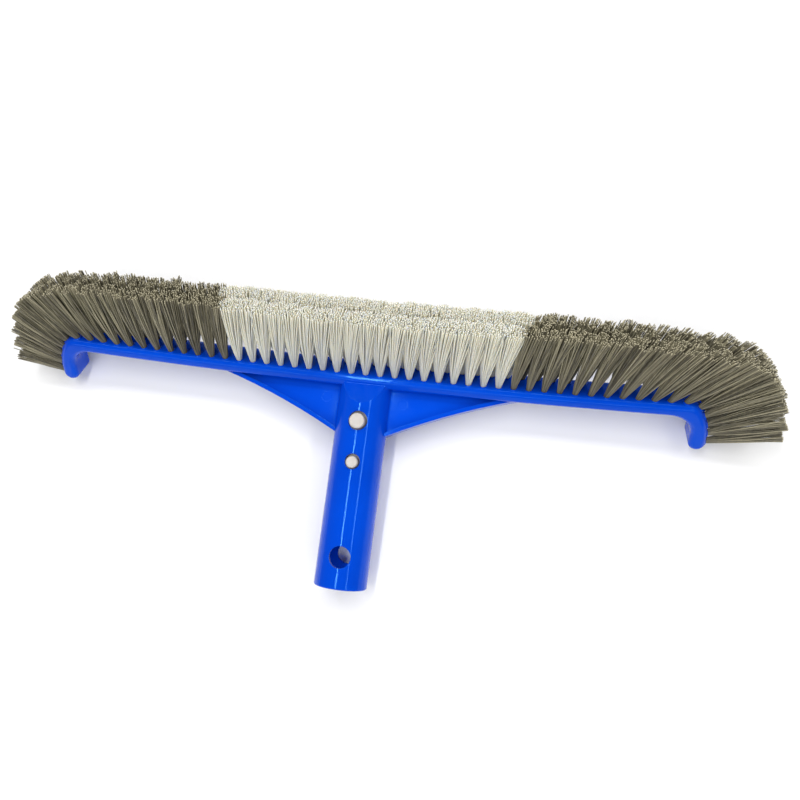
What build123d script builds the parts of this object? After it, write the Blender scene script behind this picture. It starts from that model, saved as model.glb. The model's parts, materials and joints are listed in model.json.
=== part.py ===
from build123d import *
import os
from math import asin, cos, pi, radians, sin, sqrt, tan

# Pool wall brush, lying face up on a flat surface, in millimetres.
# Everything is drawn in a working frame: X along the bar, Y along the spigot with its mouth at
# Y = 0, and Z up. At the end every part is laid down together, so that the brush rests at Z = 0
# on its two hooks and the rim of its mouth, with the middle of its outline over the origin.

# Spigot that goes into the pole
spigot_radius = 15.0
bore_radius = 12.3
bore_depth = 104.0
mouth_rounding = 0.9
pin_hole_radius = 6.0
pin_hole_y = 17.5

# Bar that holds the bristles, with a curled end each side
bristle_angle = 50.0  # between the spigot's axis and the bristles
bar_y = 124.1  # middle of the bristle face
bar_z = 6.0
bar_width = 18.0
bar_thickness = 8.0
bar_half = 177.0  # from the middle to where a curled end begins
bar_rise = 4.25  # the bar bows this far towards the bristles over bar_half
bend_radius = 8.0
bend_end_angle = 50.0
shoulder_radius = 38.0
shoulder_end_angle = 84.0
leg_run = 3.4
leg_thickness = 9.0
inner_bend_radius = 14.0
bar_rounding = 3.0
bar_spans = 12  # the long arcs of each half are drawn in this many pieces

# Flats that bring the end of the spigot down to the bar, as points in the bar's section:
# distance from its middle towards the front, then along the bristles
ramp_start = 103.2
front_ramp_end = (5.0, -3.0)
rear_ramp_end = (-7.0, -5.0)

# Gussets between spigot and bar: a thin web with a rim along its free edge
web_thickness = 2.6
web_root_y = 124.0  # inside the bar, where the web ends
web_rounding = 1.0
rim_width = 2.4
rim_height = 8.6
rim_start = (12.0, 85.0)
rim_middle = (48.0, 101.7)
rim_end = (121.0, 123.6)
ejector_mark_radius = 2.9
ejector_mark_depth = 0.25
ejector_mark_at = (22.5, 106.0)

# Spring clip inside the spigot
release_y = 92.6
release_radius = 4.3
release_hole_radius = 5.4
release_height = 3.2
lock_y = 69.6
lock_radius = 3.3
lock_hole_radius = 4.3
lock_height = 2.1
button_rounding = 0.7
hole_offset = 0.4  # the holes sit this much nearer the bar, for the swing of the buttons
strip_width = 11.0
strip_thickness = 2.2
strip_top_z = 10.3
strip_end_y = 100.0
strip_knee_y = 60.0
pivot_y = 38.0
pivot_z = 5.0
swing_gap = 0.1

# Bristle tufts, each folded over a flat anchor in a blind hole. They stand in two rows, and those
# of the rear row stand between those of the front row.
row_offset = 4.5
pitch = 8.38
straight_tufts = 22  # front row, each side of the middle tuft, before the hook
white_half = 81.7  # from the middle to where the grey tufts begin
hook_pitch = 6.6
hook_tufts = 4
tuft_length = 41.0
hook_shortening = 6.5
fan_angle = 66.0
fan_power = 4.5
row_lean = 2.5  # the rows lean apart by this much each
root_radius = 1.8
tip_radius = 4.1
hole_clearance = 0.08
hole_depth = 6.0
drill_overrun = 4.0
foot_depth = 5.6
anchor_width = 3.4
anchor_thickness = 0.5
anchor_height = 1.8

lying_tilt = 2.53  # levels the mouth's rim with the hooks

across = Vector(1, 0, 0)
bristle_way = Vector(0, cos(radians(bristle_angle)), sin(radians(bristle_angle)))
front_way = Vector(0, -sin(radians(bristle_angle)), cos(radians(bristle_angle)))
bar_origin = Vector(0, bar_y, bar_z)
bar_plane = Plane(origin=bar_origin, x_dir=across, z_dir=front_way)
camber_radius = (bar_half**2 + bar_rise**2) / (2 * bar_rise)
last_straight = straight_tufts * pitch  # distance along the face to the front row's last
last_foot = last_straight + hook_tufts * hook_pitch


def face_curves():
    """The right half of the bristle face, seen from the front: bar, bend, shoulder and leg."""
    camber_turn = 2 * bar_rise / bar_half * 180 / pi
    bar = [JernArc((0, 0), (1, 0), camber_radius, camber_turn / bar_spans)]
    while len(bar) < bar_spans:
        bar.append(JernArc(bar[-1] @ 1, bar[-1] % 1, camber_radius, camber_turn / bar_spans))
    bend = JernArc(bar[-1] @ 1, bar[-1] % 1, bend_radius, -bend_end_angle - camber_turn)
    shoulder = JernArc(bend @ 1, bend % 1, shoulder_radius, bend_end_angle - shoulder_end_angle)
    leg = Line(shoulder @ 1, (shoulder @ 1) + (shoulder % 1) * leg_run)
    return [*bar, bend, shoulder, leg]


def bar_outline():
    """The bar and both curled ends, seen from the front."""
    curves = face_curves()
    tip = JernArc(curves[-1] @ 1, curves[-1] % 1, leg_thickness / 2, -180)
    # The leg's inner line runs up to the underside, which is an arc about the face's own centre.
    up = tip % 1
    from_centre = (tip @ 1) - Vector(0, camber_radius)
    under_radius = camber_radius + bar_thickness
    closest = up.dot(from_centre)
    reach = -closest - sqrt(closest**2 - from_centre.dot(from_centre) + under_radius**2)
    corner = (tip @ 1) + up * reach
    whole_turn = asin(corner.X / under_radius)
    turns = [whole_turn * i / bar_spans / 2 for i in range(2 * bar_spans + 1)]
    points = [(under_radius * sin(t), camber_radius - under_radius * cos(t)) for t in turns]
    underside = [ThreePointArc(points[2 * i : 2 * i + 3]) for i in range(bar_spans)]
    middle = Line((0, -bar_thickness), (0, 0))
    half = make_face([*curves, tip, Line(tip @ 1, corner), *underside, middle])
    half = fillet(half.vertices().sort_by_distance(corner)[0], inner_bend_radius)
    return half + mirror(half, about=Plane.YZ)


def bar_solid():
    """The bar with both curled ends, its long edges rounded."""
    bar = extrude(bar_outline(), bar_width / 2, both=True)
    sides = bar.faces().filter_by(Plane.XY)
    return bar_plane * fillet(sides.edges(), bar_rounding)


def section_point(towards_front, along_bristles):
    """A point of the bar's middle section, as (Y, Z)."""
    point = bar_origin + front_way * towards_front + bristle_way * along_bristles
    return Vector(point.Y, point.Z)


def spigot_solid():
    """The round spigot, cut by two flats where it runs into the bar."""
    outside = 5.0
    flats = []
    for side, end in ((-1, rear_ramp_end), (1, front_ramp_end)):
        touch = Vector(ramp_start, side * spigot_radius)
        inside_bar = section_point(*end)
        slope = (inside_bar - touch) * (outside / abs(inside_bar.Y - touch.Y))
        flats.append([touch - slope, inside_bar])
    rear, forward = flats
    clear = spigot_radius + outside
    outline = [(0, -clear), *rear, *reversed(forward), (0, clear)]
    profile = Plane.YZ * make_face(Polyline(*outline, close=True))
    tube = Plane.XZ * extrude(Circle(spigot_radius), -1.5 * ramp_start)
    return tube & extrude(profile, clear, both=True)


def gusset_solid():
    """The right gusset: a web in the spigot's middle plane, and the rim along its free edge."""
    edge = ThreePointArc(rim_start, rim_middle, rim_end)
    end_x = rim_end[0]
    web_corners = [rim_end, (end_x, web_root_y), (0, web_root_y), (0, rim_start[1]), rim_start]
    web = extrude(make_face([edge, Polyline(*web_corners)]), web_thickness / 2, both=True)
    upper = Pos(0, rim_width) * edge
    band = make_face([edge, Line(edge @ 1, upper @ 1), upper, Line(upper @ 0, edge @ 0)])
    rim = extrude(band, rim_height / 2, both=True)
    mark = Cylinder(ejector_mark_radius, ejector_mark_depth)
    return web + rim - Pos(*ejector_mark_at, web_thickness / 2) * mark


def web_roots(body):
    """The inner corners where the webs meet the spigot and the bar."""
    half = web_thickness / 2
    at_web = [edge for edge in body.edges() if abs(abs(edge.center().Z) - half) < 0.01]
    along_spigot = [edge for edge in at_web if edge.geom_type == GeomType.LINE]
    along_bar = [edge for edge in at_web if edge.geom_type == GeomType.ELLIPSE]
    return along_spigot + along_bar


def cross_hole(y, radius):
    """A hole through both walls of the spigot."""
    return Pos(0, y, 0) * Cylinder(radius, 3 * spigot_radius)


def brush_body(feet):
    """The one-piece moulding: bar, spigot and gussets, with a blind hole for each tuft."""
    right = gusset_solid()
    body = bar_solid() + spigot_solid() + right + mirror(right, about=Plane.YZ)
    body = fillet(web_roots(body), web_rounding)
    # The gussets reach into the bar and spigot but not into the bore.
    body -= Plane.XZ * extrude(Circle(bore_radius), -bore_depth)
    body = fillet(body.edges().filter_by_position(Axis.Y, -0.01, 0.01), mouth_rounding)
    holes = [
        cross_hole(pin_hole_y, pin_hole_radius),
        cross_hole(lock_y + hole_offset, lock_hole_radius),
        cross_hole(release_y + hole_offset, release_hole_radius),
    ]
    body -= holes
    drill = Cylinder(root_radius + hole_clearance, hole_depth + drill_overrun)
    drill = Pos(0, 0, (drill_overrun - hole_depth) / 2) * drill
    return body - [foot * drill for foot in feet]


def clip_bend():
    """The bent end of the spring clip, towards the mouth."""
    outer = pivot_z + strip_thickness / 2
    inner = pivot_z - strip_thickness / 2
    end_y = pivot_y - strip_thickness / 2 - swing_gap
    ring = Circle(outer) - Circle(inner)
    half_ring = ring - Pos(outer) * Rectangle(2 * outer, 2 * outer)
    return extrude(Plane.YZ * Pos(end_y, 0) * half_ring, strip_width / 2, both=True)


def clip_leg():
    """The front leg of the spring clip: it springs about the pivot, next to the bend."""
    middle = strip_top_z - strip_thickness / 2
    path = Polyline((pivot_y, pivot_z), (strip_knee_y, middle), (strip_end_y, middle))
    strip = offset(path, strip_thickness / 2)
    return extrude(Plane.YZ * make_face(strip), strip_width / 2, both=True)


def button(y, radius, height):
    """A round button that stands on the front leg and out of its hole in the spigot."""
    length = spigot_radius + height - strip_top_z
    stem = Cylinder(radius, length, align=(Align.CENTER, Align.CENTER, Align.MIN))
    stem = fillet(stem.edges().sort_by(Axis.Z)[-1], button_rounding)
    return Pos(0, y, strip_top_z) * stem


def turn_share(distance):
    """How far the fan has opened at this distance along the face, from 0 to 1."""
    return (abs(distance) / last_foot) ** fan_power


def tuft_foot(distance, row):
    """Where a tuft leaves the bar: its place and direction, at this distance along the face."""
    half_face = Wire(face_curves())
    on_face = half_face.position_at(abs(distance), position_mode=PositionMode.LENGTH)
    side = 1 if distance >= 0 else -1
    place = bar_plane.from_local_coords((side * on_face.X, on_face.Y, row * row_offset))
    lean = radians(fan_angle * turn_share(distance)) * side
    direction = across * sin(lean) + bristle_way * cos(lean)
    direction += front_way * row * tan(radians(row_lean))
    return Location(Plane(origin=place, x_dir=front_way, z_dir=direction))


def anchor():
    """The flat metal anchor that a tuft is folded over."""
    lift = anchor_height / 2 - foot_depth
    return Pos(0, 0, lift) * Box(anchor_width, anchor_thickness, anchor_height)


def tuft(length):
    """One tuft as a plain solid: a round foot in its hole, and a cone that opens to its tip."""
    to_top = (Align.CENTER, Align.CENTER, Align.MAX)
    to_bottom = (Align.CENTER, Align.CENTER, Align.MIN)
    foot = Cylinder(root_radius, foot_depth, align=to_top)
    cone = Cone(root_radius, tip_radius, length, align=to_bottom)
    return foot + cone - anchor()


def zones(row):
    """The distances along the face of one row's tufts, by zone from left to right."""
    shift = 0.0 if row > 0 else 0.5
    straight = [pitch * (i + shift) for i in range(straight_tufts + 1)]
    white = [s for s in straight if s < white_half]
    grey = [s for s in straight if white_half < s < last_straight + pitch / 4]
    hook = [last_straight + hook_pitch * (i + 1 - shift) for i in range(hook_tufts)]
    return {
        "left_hook": [-s for s in hook],
        "left_grey": [-s for s in grey],
        "white": white + [-s for s in white if s > 0],
        "right_grey": grey,
        "right_hook": hook,
    }


def bristle_parts():
    """The tufts and their anchors, grouped by row and zone, and every tuft's foot."""
    groups = {}
    feet = []
    for row, row_name in ((1, "front"), (-1, "rear")):
        for zone, distances in zones(row).items():
            tufts = []
            anchors = []
            for distance in distances:
                foot = tuft_foot(distance, row)
                length = tuft_length - hook_shortening * turn_share(distance)
                feet.append(foot)
                tufts.append(foot * tuft(length))
                anchors.append(foot * anchor())
            groups[f"{row_name}_{zone}_tufts"] = Compound(tufts)
            groups[f"{row_name}_{zone}_anchors"] = Compound(anchors)
    return groups, feet


def clip_parts():
    """The spring clip: its bend, and on each side a leg with its two buttons."""
    leg = clip_leg()
    lock = button(lock_y, lock_radius, lock_height)
    release = button(release_y, release_radius, release_height)
    return {
        "clip_bend": clip_bend(),
        "clip_front_leg": leg,
        "front_lock_button": lock,
        "front_release_button": release,
        "clip_rear_leg": mirror(leg, about=Plane.XY),
        "rear_lock_button": mirror(lock, about=Plane.XY),
        "rear_release_button": mirror(release, about=Plane.XY),
    }


def laid_down(parts):
    """All the parts, turned so that mouth and hooks share one level, and moved over the origin."""
    turned = Rot(X=lying_tilt) * Compound(list(parts.values()))
    box = turned.bounding_box()
    lay = Pos(-box.center().X, -box.center().Y, -box.min.Z) * Rot(X=lying_tilt)
    return {name: lay * part for name, part in parts.items()}


def main():
    parts, feet = bristle_parts()
    parts["brush_body"] = brush_body(feet)
    parts.update(clip_parts())
    os.makedirs("parts", exist_ok=True)
    for name, part in laid_down(parts).items():
        part.label = name
        export_step(part, f"parts/{name}.step")


if __name__ == "__main__":
    main()
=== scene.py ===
"""Looks of the pool wall brush: real filament tufts, moulded plastic and a soft studio."""

import json
import math

import bmesh
import bpy
import numpy as np
from mathutils import Euler, Matrix, Vector

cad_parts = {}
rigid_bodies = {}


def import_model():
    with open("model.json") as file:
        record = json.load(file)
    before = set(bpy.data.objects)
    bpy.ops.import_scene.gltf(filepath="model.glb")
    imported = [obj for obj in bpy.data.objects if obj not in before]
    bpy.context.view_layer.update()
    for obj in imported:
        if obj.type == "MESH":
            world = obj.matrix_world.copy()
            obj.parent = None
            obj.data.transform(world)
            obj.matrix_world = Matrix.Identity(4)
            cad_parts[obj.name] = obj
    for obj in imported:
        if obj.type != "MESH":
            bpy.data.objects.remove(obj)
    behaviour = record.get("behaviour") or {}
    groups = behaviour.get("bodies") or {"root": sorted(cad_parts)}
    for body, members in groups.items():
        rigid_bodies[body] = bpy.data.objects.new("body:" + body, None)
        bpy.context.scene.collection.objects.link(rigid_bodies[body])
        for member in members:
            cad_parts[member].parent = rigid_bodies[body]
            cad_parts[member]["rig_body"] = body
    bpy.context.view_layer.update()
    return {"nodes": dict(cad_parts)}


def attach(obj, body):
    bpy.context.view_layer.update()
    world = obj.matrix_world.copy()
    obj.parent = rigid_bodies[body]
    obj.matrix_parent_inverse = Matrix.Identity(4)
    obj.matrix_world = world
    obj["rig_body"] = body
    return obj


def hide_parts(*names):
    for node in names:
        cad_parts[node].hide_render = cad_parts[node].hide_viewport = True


MM = 0.001
SEED = 20

# Camera
CAMERA_PLACE = (0.0677, -0.0347, 0.4023)
CAMERA_TURN = (10.404, 5.739, 7.477)
CAMERA_LENS = 30.38
CAMERA_SENSOR = 36.0
CAMERA_NEAR = 0.01

# Tufts. A tuft's foot is the part of its CAD solid that is inside the bar.
FOOT_DEPTH = 5.6 * MM
ROOT_RADIUS = 1.65 * MM
COMBED = 3.8 * MM  # how far the tips are combed towards +X
BEND_POWER = 1.4  # above 1, a leaning or combed bristle bends more towards its tip
END_ROOM = 0.6  # the last tuft of a row keeps this share of its room
REAR_FLARE = 0.55  # the rear row widens earlier, which closes the gaps of the front row

# The left end's bristles are worn shorter by WORN. The wear starts where a tuft goes WORN_FROM of
# its length towards -X, and is complete where it goes WORN_OVER more of its length that way.
WORN = 3.5 * MM
WORN_FROM = 0.35
WORN_OVER = 0.5

# A filament is a thin closed tube: HIDDEN_LENGTH of it stands inside the hole, its rings of points
# stand at RING_SHARES of its length and its last CUT_LENGTH is the cut end.
HIDDEN_LENGTH = 3.6 * MM
CUT_LENGTH = 0.35 * MM
CUT_NARROWING = 0.78
RING_SHARES = (0.0, 0.15, 0.35, 0.6, 0.82)
SIDES = 6
GOLDEN_ANGLE = math.pi * (3 - math.sqrt(5))
CLUMP_REACH = 0.85  # how far out in a tuft its clumps stand
END_BAND = 0.3 * MM  # a tuft's end is the points that lie this near to it
MERGE_DISTANCE = 0.001 * MM

# How each kind of bristle grows. Lengths are in metres, angles in degrees. A tuft's tips reach
# along the row by "crowding" times half the gap between tufts, and "flare" below 1 makes the tuft
# widen early.
GREY = {
    "count": 80,
    "thickness": 0.54 * MM,
    "crowding": 1.4,
    "reach": 6.6 * MM,
    "flare": 0.9,
    "clumps": 6,
    "clump_pull": 0.25,
    "length_spread": 0.22 * MM,
    "dome": 0.4 * MM,
    "wander": 0.4 * MM,
    "bow": 0.4 * MM,
    "tuft_lean": 1.2,
    "strays": 2,
    "stray_reach": 1.6 * MM,
}
WHITE = {
    "count": 92,
    "thickness": 0.76 * MM,
    "crowding": 1.75,
    "reach": 6.8 * MM,
    "flare": 0.9,
    "clumps": 3,
    "clump_pull": 0.08,
    "length_spread": 0.2 * MM,
    "dome": 1.6 * MM,
    "wander": 0.2 * MM,
    "bow": 0.2 * MM,
    "tuft_lean": 0.6,
    "strays": 0,
    "stray_reach": 0.0,
}

# The raised lip round each tuft's hole
LIP_RADIUS = 2.1 * MM
LIP_SIZE = 0.42 * MM
LIP_STEPS = 20
LIP_SIDES = 8

# Lights: name, place, aim, width along X, length across it, and radiance
LIGHTS = (
    ("strip_left", (-0.17, -0.02, 1.00), (0.0, -0.05, 0.0), 0.075, 0.7, 26.0),
    ("strip_right", (0.60, -0.02, 0.82), (0.0, -0.05, 0.0), 0.06, 0.7, 12.0),
    ("back_panel", (0.05, 0.62, 1.02), (0.05, 0.03, 0.0), 2.4, 0.26, 5.2),
    ("front_box", (0.0, -1.00, 0.75), (0.0, 0.03, 0.0), 2.0, 0.35, 3.4),
)
FLOOR_HALF = 30.0
WALL_SHADE = 0.34
CEILING_SHADE = 0.27
CEILING_HEIGHT = 0.3  # where the walls' shade has become the ceiling's


def place_camera():
    """The camera, at the photograph's viewing angle."""
    data = bpy.data.cameras.new("camera")
    data.sensor_width = CAMERA_SENSOR
    data.lens = CAMERA_LENS
    data.clip_start = CAMERA_NEAR
    camera = bpy.data.objects.new("camera", data)
    camera.location = CAMERA_PLACE
    camera.rotation_euler = Euler([math.radians(a) for a in CAMERA_TURN], "XYZ")
    bpy.context.scene.collection.objects.link(camera)
    bpy.context.scene.camera = camera


# ---------------------------------------------------------------- studio


def add_light(name, place, aim, width, length, radiance):
    """An area light that faces the point aimed at, with its length in the plane of Y."""
    data = bpy.data.lights.new(name, "AREA")
    data.shape = "RECTANGLE"
    data.size = width
    data.size_y = length
    data.energy = radiance * math.pi * width * length
    light = bpy.data.objects.new(name, data)
    light.location = place
    back = (Vector(place) - Vector(aim)).normalized()
    side = Vector((0, 1, 0)).cross(back).normalized()
    light.rotation_euler = Matrix((side, back.cross(side), back)).transposed().to_euler()
    bpy.context.scene.collection.objects.link(light)


def add_world():
    """A softly lit room, a little lighter towards its walls."""
    world = bpy.data.worlds.new("room")
    world.use_nodes = True
    bpy.context.scene.world = world
    nodes = world.node_tree.nodes
    links = world.node_tree.links
    sky = nodes["Background"]
    place = nodes.new("ShaderNodeTexCoord")
    split = nodes.new("ShaderNodeSeparateXYZ")
    ramp = nodes.new("ShaderNodeValToRGB")
    ramp.color_ramp.elements[0].color = colour(WALL_SHADE)
    ramp.color_ramp.elements[1].position = CEILING_HEIGHT
    ramp.color_ramp.elements[1].color = colour(CEILING_SHADE)
    links.new(place.outputs["Generated"], split.inputs["Vector"])
    links.new(split.outputs["Z"], ramp.inputs["Fac"])
    links.new(ramp.outputs["Color"], sky.inputs["Color"])


def add_floor():
    """The pale floor that the brush lies on."""
    corners = [(x * FLOOR_HALF, y * FLOOR_HALF, 0.0) for x, y in ((-1, -1), (1, -1), (1, 1), (-1, 1))]
    mesh = bpy.data.meshes.new("floor")
    mesh.from_pydata(corners, [], [(0, 1, 2, 3)])
    floor = bpy.data.objects.new("floor", mesh)
    bpy.context.scene.collection.objects.link(floor)
    mesh.materials.append(floor_paint())


# ---------------------------------------------------------------- materials


def colour(value):
    """A colour with alpha, from one number or three."""
    if isinstance(value, (int, float)):
        value = (value, value, value)
    return (*value, 1.0)


class Graph:
    """A new material with a Principled shader, and short calls that build its nodes."""

    def __init__(self, name, **settings):
        self.material = bpy.data.materials.new(name)
        self.material.use_nodes = True
        self.tree = self.material.node_tree
        self.shader = self.tree.nodes["Principled BSDF"]
        for socket, value in settings.items():
            self.shader.inputs[socket.replace("_", " ")].default_value = value

    def node(self, kind, **settings):
        made = self.tree.nodes.new("ShaderNode" + kind)
        for name, value in settings.items():
            setattr(made, name, value)
        return made

    def put(self, value, socket):
        """Sets a socket to a number or colour, or links another socket to it."""
        if isinstance(value, bpy.types.NodeSocket):
            self.tree.links.new(value, socket)
        elif socket.type == "RGBA":
            socket.default_value = colour(value)
        else:
            socket.default_value = value

    def noise(self, scale, detail=3.0, roughness=0.5, stretch=(1, 1, 1)):
        """Noise in object space, with its scale in features per metre."""
        mapping = self.node("Mapping")
        mapping.inputs["Scale"].default_value = stretch
        self.put(self.node("TexCoord").outputs["Object"], mapping.inputs["Vector"])
        texture = self.node("TexNoise")
        texture.inputs["Scale"].default_value = scale
        texture.inputs["Detail"].default_value = detail
        texture.inputs["Roughness"].default_value = roughness
        self.put(mapping.outputs["Vector"], texture.inputs["Vector"])
        return texture.outputs["Fac"]

    def attribute(self, name):
        return self.node("Attribute", attribute_name=name).outputs["Fac"]

    def spread(self, value, root_shade_share, high, start=0.35, end=0.65):
        """Spreads a value from start to end over numbers from low to high."""
        spread = self.node("MapRange")
        for name, number in (("From Min", start), ("From Max", end), ("To Min", root_shade_share), ("To Max", high)):
            spread.inputs[name].default_value = number
        self.put(value, spread.inputs["Value"])
        return spread.outputs["Result"]

    def mix(self, share, first, second):
        """A colour between two colours."""
        mix = self.node("Mix", data_type="RGBA")
        for socket, value in zip((mix.inputs[0], mix.inputs[6], mix.inputs[7]), (share, first, second)):
            self.put(value, socket)
        return mix.outputs[2]

    def maths(self, operation, first, second):
        maths = self.node("Math", operation=operation, use_clamp=True)
        self.put(first, maths.inputs[0])
        self.put(second, maths.inputs[1])
        return maths.outputs[0]

    def bump(self, height, distance, normal=None):
        """A normal that follows a height of so many metres."""
        bump = self.node("Bump")
        bump.inputs["Distance"].default_value = distance
        self.put(height, bump.inputs["Height"])
        if normal is not None:
            self.put(normal, bump.inputs["Normal"])
        return bump.outputs["Normal"]

    def edges(self, radius):
        """How near the surface is to a sharp edge, and a normal that rounds that edge."""
        bevel = self.node("Bevel", samples=6)
        bevel.inputs["Radius"].default_value = radius
        turn = self.node("VectorMath", operation="DOT_PRODUCT")
        self.put(bevel.outputs["Normal"], turn.inputs[0])
        self.put(self.node("NewGeometry").outputs["Normal"], turn.inputs[1])
        return self.spread(turn.outputs["Value"], 1.0, 0.0, 0.80, 0.995), bevel.outputs["Normal"]

    def finish(self, base, roughness, normal):
        """Joins colour, roughness and normal to the shader."""
        self.put(base, self.shader.inputs["Base Color"])
        self.put(roughness, self.shader.inputs["Roughness"])
        self.put(normal, self.shader.inputs["Normal"])
        return self.material


def blue_plastic():
    """Glossy moulded plastic: faint flow marks, orange peel, fine scuffs, and sharp edges lightened partly
    by wear and partly by a painted highlight.
    """
    graph = Graph("blue_plastic", IOR=1.38)
    graph.shader.inputs["Specular Tint"].default_value = colour((0.18, 0.60, 1.0))
    edge, rounded = graph.edges(0.35 * MM)
    flow = graph.spread(graph.noise(28, detail=4, stretch=(0.4, 1, 1)), 0.0, 1.0)
    dust = graph.spread(graph.noise(1500, detail=2), 0.0, 0.06, 0.62, 0.75)
    scuffs = graph.noise(240, detail=6, roughness=0.7, stretch=(1, 0.08, 1))
    scuffs = graph.spread(scuffs, 0.0, 1.0, 0.6, 0.72)
    base = graph.mix(flow, (0.0, 0.049, 0.52), (0.0, 0.060, 0.60))
    base = graph.mix(dust, base, (0.10, 0.22, 0.75))
    # Sharp edges are mixed towards a lighter blue: partly wear, partly a painted highlight along the
    # edges.
    base = graph.mix(graph.maths("MULTIPLY", edge, 0.22), base, (0.03, 0.17, 0.88))
    roughness = graph.spread(graph.noise(90, detail=4), 0.06, 0.10)
    roughness = graph.maths("ADD", roughness, graph.maths("MULTIPLY", scuffs, 0.08))
    roughness = graph.maths("ADD", roughness, graph.maths("MULTIPLY", edge, 0.10))
    normal = graph.bump(graph.noise(130, detail=1), 0.04 * MM, rounded)
    normal = graph.bump(graph.noise(1900, detail=2), 0.004 * MM, normal)
    return graph.finish(base, roughness, normal)


def cream_plastic():
    """The clip's unpainted plastic: warm white, slightly waxy, with rubbed edges."""
    graph = Graph("cream_plastic", IOR=1.48, Subsurface_Weight=0.25)
    graph.shader.inputs["Subsurface Radius"].default_value = (1.6 * MM, 1.2 * MM, 0.9 * MM)
    graph.shader.inputs["Subsurface Scale"].default_value = 1.0
    edge, rounded = graph.edges(0.25 * MM)
    tone = graph.spread(graph.noise(180, detail=4), 0.0, 1.0)
    base = graph.mix(tone, (0.43, 0.40, 0.37), (0.49, 0.46, 0.43))
    base = graph.mix(graph.maths("MULTIPLY", edge, 0.35), base, (0.62, 0.60, 0.58))
    grime = graph.spread(graph.noise(420, detail=6, roughness=0.65), 0.0, 0.22, 0.58, 0.74)
    base = graph.mix(grime, base, (0.30, 0.27, 0.23))
    roughness = graph.spread(graph.noise(300, detail=4), 0.30, 0.42)
    normal = graph.bump(graph.noise(900, detail=3), 0.012 * MM, rounded)
    return graph.finish(base, roughness, normal)


def brass():
    """Drawn brass strip, with drawing lines and a little tarnish."""
    graph = Graph("brass", Metallic=1.0)
    tarnish = graph.spread(graph.noise(500, detail=5), 0.0, 0.7, 0.5, 0.75)
    base = graph.mix(tarnish, (0.80, 0.58, 0.26), (0.42, 0.27, 0.11))
    lines = graph.noise(2600, detail=2, stretch=(0.1, 1, 1))
    roughness = graph.spread(lines, 0.25, 0.42)
    normal = graph.bump(lines, 0.01 * MM)
    return graph.finish(base, roughness, normal)


def bristle(name, root, dark, light, cut, weight, roughness):
    """Filament plastic. Each filament has a shade of its own, and a paler cut end. Painted shade darkens
    the filaments towards their roots.
    """
    graph = Graph(name, IOR=1.5, Subsurface_Weight=weight)
    graph.shader.inputs["Subsurface Radius"].default_value = (1.4 * MM, 1.2 * MM, 0.9 * MM)
    graph.shader.inputs["Subsurface Scale"].default_value = 1.0
    streaks = graph.noise(700, detail=4, roughness=0.6, stretch=(1, 0.25, 0.25))
    tone = graph.maths("MULTIPLY", graph.attribute("shade"), 0.75)
    tone = graph.maths("ADD", tone, graph.spread(streaks, 0.0, 0.25, 0.3, 0.7))
    base = graph.mix(tone, dark, light)
    # Painted shade: the lower half of each filament is mixed towards the darker root colour.
    root_shade_share = graph.spread(graph.attribute("along"), 1.0, 0.0, 0.0, 0.5)
    base = graph.mix(graph.maths("MULTIPLY", root_shade_share, 0.6), base, root)
    base = graph.mix(graph.maths("MULTIPLY", graph.attribute("cut"), 0.8), base, cut)
    rough = graph.spread(streaks, roughness - 0.06, roughness + 0.1, 0.3, 0.7)
    normal = graph.bump(graph.noise(2600, detail=3, stretch=(1, 0.3, 0.3)), 0.03 * MM)
    return graph.finish(base, rough, normal)


def grey_bristle():
    return bristle(
        "grey_bristle",
        # root is the painted shade colour near the roots
        root=(0.07, 0.062, 0.042),
        dark=(0.030, 0.027, 0.019),
        light=(0.38, 0.345, 0.225),
        cut=(0.66, 0.60, 0.41),
        weight=0.0,
        roughness=0.42,
    )


def white_bristle():
    return bristle(
        "white_bristle",
        # root is the painted shade colour near the roots
        root=(0.56, 0.55, 0.49),
        dark=(0.69, 0.67, 0.55),
        light=(0.71, 0.69, 0.575),
        cut=(0.88, 0.86, 0.78),
        weight=0.8,
        roughness=0.38,
    )


def floor_paint():
    """Pale matt floor with a barely visible mottle."""
    graph = Graph("floor_paint", Specular_IOR_Level=0.2)
    mottle = graph.spread(graph.noise(9, detail=5), 0.0, 1.0)
    base = graph.mix(mottle, (0.89, 0.89, 0.89), (0.91, 0.91, 0.91))
    roughness = graph.spread(graph.noise(60, detail=3), 0.75, 0.85)
    normal = graph.bump(graph.noise(700, detail=3), 0.02 * MM)
    return graph.finish(base, roughness, normal)


# ---------------------------------------------------------------- tufts


def islands(mesh):
    """The corner points of each separate solid in a mesh."""
    work = bmesh.new()
    work.from_mesh(mesh)
    bmesh.ops.remove_doubles(work, verts=work.verts, dist=MERGE_DISTANCE)
    seen = set()
    found = []
    for first in work.verts:
        if first in seen:
            continue
        seen.add(first)
        grown = [first]
        for vertex in grown:
            near = [edge.other_vert(vertex) for edge in vertex.link_edges]
            fresh = [v for v in near if v not in seen]
            seen.update(fresh)
            grown.extend(dict.fromkeys(fresh))
        found.append(np.array([v.co for v in grown]))
    work.free()
    return found


def tuft_of(points):
    """Where a tuft leaves the bar, its length, and its directions: out, along the bar, across."""
    centre = points.mean(axis=0)
    spread = np.linalg.eigh(np.cov((points - centre).T))[1]
    out = spread[:, -1]
    heights = (points - centre) @ out
    ends = []
    for side in (-1, 1):
        ring = points[side * heights > (side * heights).max() - END_BAND]
        middle = ring.mean(axis=0)
        ends.append((np.linalg.norm(ring - middle, axis=1).max(), middle))
    foot, tip = (middle for _, middle in sorted(ends, key=lambda end: end[0]))
    out = (tip - foot) / np.linalg.norm(tip - foot)
    along = np.array([1.0, 0.0, 0.0]) - out * out[0]
    along /= np.linalg.norm(along)
    return {
        "root": foot + out * FOOT_DEPTH,
        "length": np.linalg.norm(tip - foot) - FOOT_DEPTH,
        "out": out,
        "along": along,
        "across": np.cross(out, along),
    }


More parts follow.
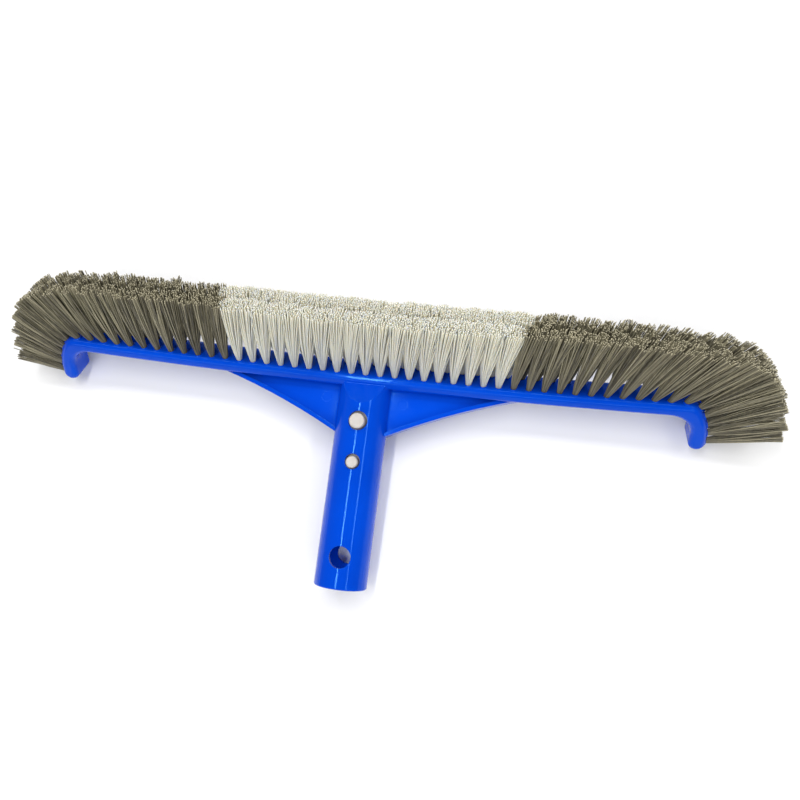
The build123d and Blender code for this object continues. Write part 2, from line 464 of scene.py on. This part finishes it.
def sunflower(count, turn):
    """Points spread evenly over a disc of radius 1."""
    order = np.arange(count)
    reach = np.sqrt((order + 0.5) / count)
    angle = order * GOLDEN_ANGLE + turn
    return reach[:, None] * np.stack([np.cos(angle), np.sin(angle)], axis=1)


def filament_lines(tuft, kind, draw):
    """The centre lines of one tuft's filaments, from inside its hole to their tips."""
    count = kind["count"]
    spot = sunflower(count, draw.uniform(0, 2 * math.pi))
    centres = sunflower(kind["clumps"], draw.uniform(0, 2 * math.pi)) * CLUMP_REACH
    gaps = np.linalg.norm(spot[:, None] - centres[None], axis=2)
    clump = centres[gaps.argmin(axis=1)]
    root = spot * (ROOT_RADIUS - kind["thickness"] / 2)
    tip = spot + (clump - spot) * kind["clump_pull"]
    tip *= (kind["crowding"] * tuft["room"], kind["reach"])
    tip += draw.normal(0, kind["wander"], (count, 2))
    strays = draw.permutation(count)[: kind["strays"]]
    tip[strays] += draw.normal(0, 1, (len(strays), 2)) * kind["stray_reach"]
    lean = np.tan(np.radians(draw.normal(0, kind["tuft_lean"], 2))) * tuft["length"]
    bow = draw.normal(0, kind["bow"], (count, 2))
    dome = kind["dome"] * (0.5 - (spot**2).sum(axis=1)) - tip[:, 0] ** 2 * tuft["curve"] / 2
    spread = np.clip(draw.normal(0, 1, count), -2, 2) * kind["length_spread"]
    length = tuft["length"] + dome + spread
    last = 1 - CUT_LENGTH / tuft["length"]
    shares = np.array([-HIDDEN_LENGTH / tuft["length"], *RING_SHARES, last, 1.0])
    grown = np.clip(shares, 0, 1)
    offset = root[:, None] + (tip - root)[:, None] * grown[:, None] ** (kind["flare"] * tuft["flare"])
    offset = offset + bow[:, None] * np.sin(math.pi * grown)[:, None] + lean * grown[:, None] ** BEND_POWER
    height = shares[None, :, None] * length[:, None, None]
    axes = np.stack([tuft["along"], tuft["across"]])
    combed = grown[:, None] ** BEND_POWER * (COMBED, 0, 0)
    return tuft["root"] + height * tuft["out"] + offset @ axes + combed, grown


def filament_rings(lines, tuft, thickness):
    """Rings of points round each centre line, a little narrower at the cut end."""
    angle = np.arange(SIDES) * 2 * math.pi / SIDES
    circle = np.outer(np.cos(angle), tuft["along"]) + np.outer(np.sin(angle), tuft["across"])
    radius = np.full(lines.shape[1], thickness / 2)
    radius[-1] *= CUT_NARROWING
    return lines[:, :, None] + radius[None, :, None, None] * circle[None, None]


def tube_faces(tubes, rings):
    """The faces of closed tubes whose points come ring by ring: sides first, then both ends."""
    side = np.arange(SIDES)
    beside = np.roll(side, -1)
    ring = np.arange(rings - 1)[:, None] * SIDES
    sides = np.stack([ring + side, ring + beside, ring + beside + SIDES, ring + side + SIDES], axis=2)
    sides = sides.reshape(-1, 4)
    start = (np.arange(tubes) * rings * SIDES)[:, None]
    walls = (start[:, :, None] + sides[None]).reshape(-1, 4)
    bottoms = start + side[::-1]
    tops = start + (rings - 1) * SIDES + side
    return walls.tolist(), bottoms.tolist() + tops.tolist()


def bristle_piece(node, tufts, kind, material, draw):
    """One zone of one row as filaments, in place of its CAD node."""
    points = []
    along = []
    for tuft in tufts:
        lines, grown = filament_lines(tuft, kind, draw)
        points.append(filament_rings(lines, tuft, kind["thickness"]))
        along.append(np.broadcast_to(grown[None, :, None], (*lines.shape[:2], SIDES)))
    points = np.concatenate(points)
    along = np.concatenate(along)
    shade = np.broadcast_to(draw.uniform(0, 1, len(points))[:, None, None], along.shape)
    cut = np.zeros(along.shape)
    cut[:, -1] = 1.0
    walls, ends = tube_faces(len(points), points.shape[1])
    piece = new_piece(node.name.replace("tufts", "bristles"), points, walls + ends, node)
    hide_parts(node.name)
    mesh = piece.data
    smooth = np.arange(len(walls) + len(ends)) < len(walls)
    mesh.polygons.foreach_set("use_smooth", smooth)
    for name, values in (("along", along), ("shade", shade), ("cut", cut)):
        attribute = mesh.attributes.new(name, "FLOAT", "POINT")
        attribute.data.foreach_set("value", values.ravel().astype(np.float32))
    mesh.materials.append(material)


def new_piece(name, points, faces, node):
    """A mesh that moves with a CAD node."""
    mesh = bpy.data.meshes.new(name)
    mesh.from_pydata(points.reshape(-1, 3).tolist(), [], faces)
    piece = bpy.data.objects.new(name, mesh)
    bpy.context.scene.collection.objects.link(piece)
    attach(piece, node["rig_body"])
    return piece


def row_tufts(nodes, row):
    """One row's tufts from left to right: their room, fan-out and wear, and the way of the row."""
    tufts = []
    for name, node in nodes.items():
        if name.startswith(row) and name.endswith("_tufts"):
            tufts += [{**tuft_of(points), "node": name} for points in islands(node.data)]
    tufts.sort(key=lambda tuft: tuft["root"][0])
    tips = np.array([tuft["root"] + tuft["out"] * tuft["length"] for tuft in tufts])
    gaps = np.linalg.norm(np.gradient(tips, axis=0), axis=1)
    ways = np.gradient(np.array([tuft["root"] for tuft in tufts]), axis=0)
    turns = np.linalg.norm(np.gradient(np.array([tuft["out"] for tuft in tufts]), axis=0), axis=1)
    for tuft, gap, way, turn in zip(tufts, gaps, ways, turns):
        tuft["room"] = gap / 2
        tuft["curve"] = turn / gap
        tuft["flare"] = 1.0 if row == "front" else REAR_FLARE
        tuft["length"] -= WORN * np.clip((-tuft["out"][0] - WORN_FROM) / WORN_OVER, 0, 1)
        tuft["way"] = way / np.linalg.norm(way)
    tufts[0]["room"] *= END_ROOM
    tufts[-1]["room"] *= END_ROOM
    return tufts


def hole_lips(tufts, node, material):
    """A low moulded ring round every tuft's hole."""
    angle = np.arange(LIP_STEPS)[:, None, None] * 2 * math.pi / LIP_STEPS
    turn = np.arange(LIP_SIDES)[:, None] * 2 * math.pi / LIP_SIDES
    rings = []
    for tuft in tufts:
        beside = np.cross(tuft["way"], tuft["out"])
        beside /= np.linalg.norm(beside)
        up = np.cross(beside, tuft["way"])
        circle = np.cos(angle) * tuft["way"] + np.sin(angle) * beside
        outwards = (LIP_RADIUS + LIP_SIZE * np.cos(turn)) * circle
        rings.append(tuft["root"] + outwards + LIP_SIZE * np.sin(turn) * up)
    step = np.arange(LIP_STEPS)[:, None] * LIP_SIDES
    next_step = np.roll(step, -1, axis=0)
    side = np.arange(LIP_SIDES)
    next_side = np.roll(side, -1)
    ring = np.stack([step + side, next_step + side, next_step + next_side, step + next_side], axis=2)
    start = np.arange(len(rings))[:, None, None] * LIP_STEPS * LIP_SIDES
    faces = (start + ring.reshape(1, -1, 4)).reshape(-1, 4).tolist()
    piece = new_piece("hole_lips", np.array(rings), faces, node)
    piece.data.polygons.foreach_set("use_smooth", np.ones(len(faces), bool))
    piece.data.materials.append(material)


def add_bristles(nodes, blue):
    """Every tuft node's filaments, and the lips of their holes."""
    kinds = {"grey_bristle": (GREY, grey_bristle()), "white_bristle": (WHITE, white_bristle())}
    tufts = row_tufts(nodes, "front") + row_tufts(nodes, "rear")
    hole_lips(tufts, nodes["brush_body"], blue)
    for number, name in enumerate(sorted({tuft["node"] for tuft in tufts})):
        slot = "white_bristle" if "white" in name else "grey_bristle"
        kind, material = kinds[slot]
        draw = np.random.default_rng([SEED, number])
        own = [tuft for tuft in tufts if tuft["node"] == name]
        bristle_piece(nodes[name], own, kind, material, draw)


def paint_nodes(nodes, blue):
    """The CAD nodes that stay get their finish by material slot."""
    cream, metal = cream_plastic(), brass()
    for name, node in nodes.items():
        if name == "brush_body":
            node.material_slots[0].material = blue
        elif name.endswith("_anchors"):
            node.material_slots[0].material = metal
        elif not name.endswith("_tufts"):
            node.material_slots[0].material = cream


def main():
    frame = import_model()
    place_camera()
    add_world()
    add_floor()
    for light in LIGHTS:
        add_light(*light)
    blue = blue_plastic()
    paint_nodes(frame["nodes"], blue)
    add_bristles(frame["nodes"], blue)
    bpy.context.scene.view_settings.view_transform = "Standard"


main()
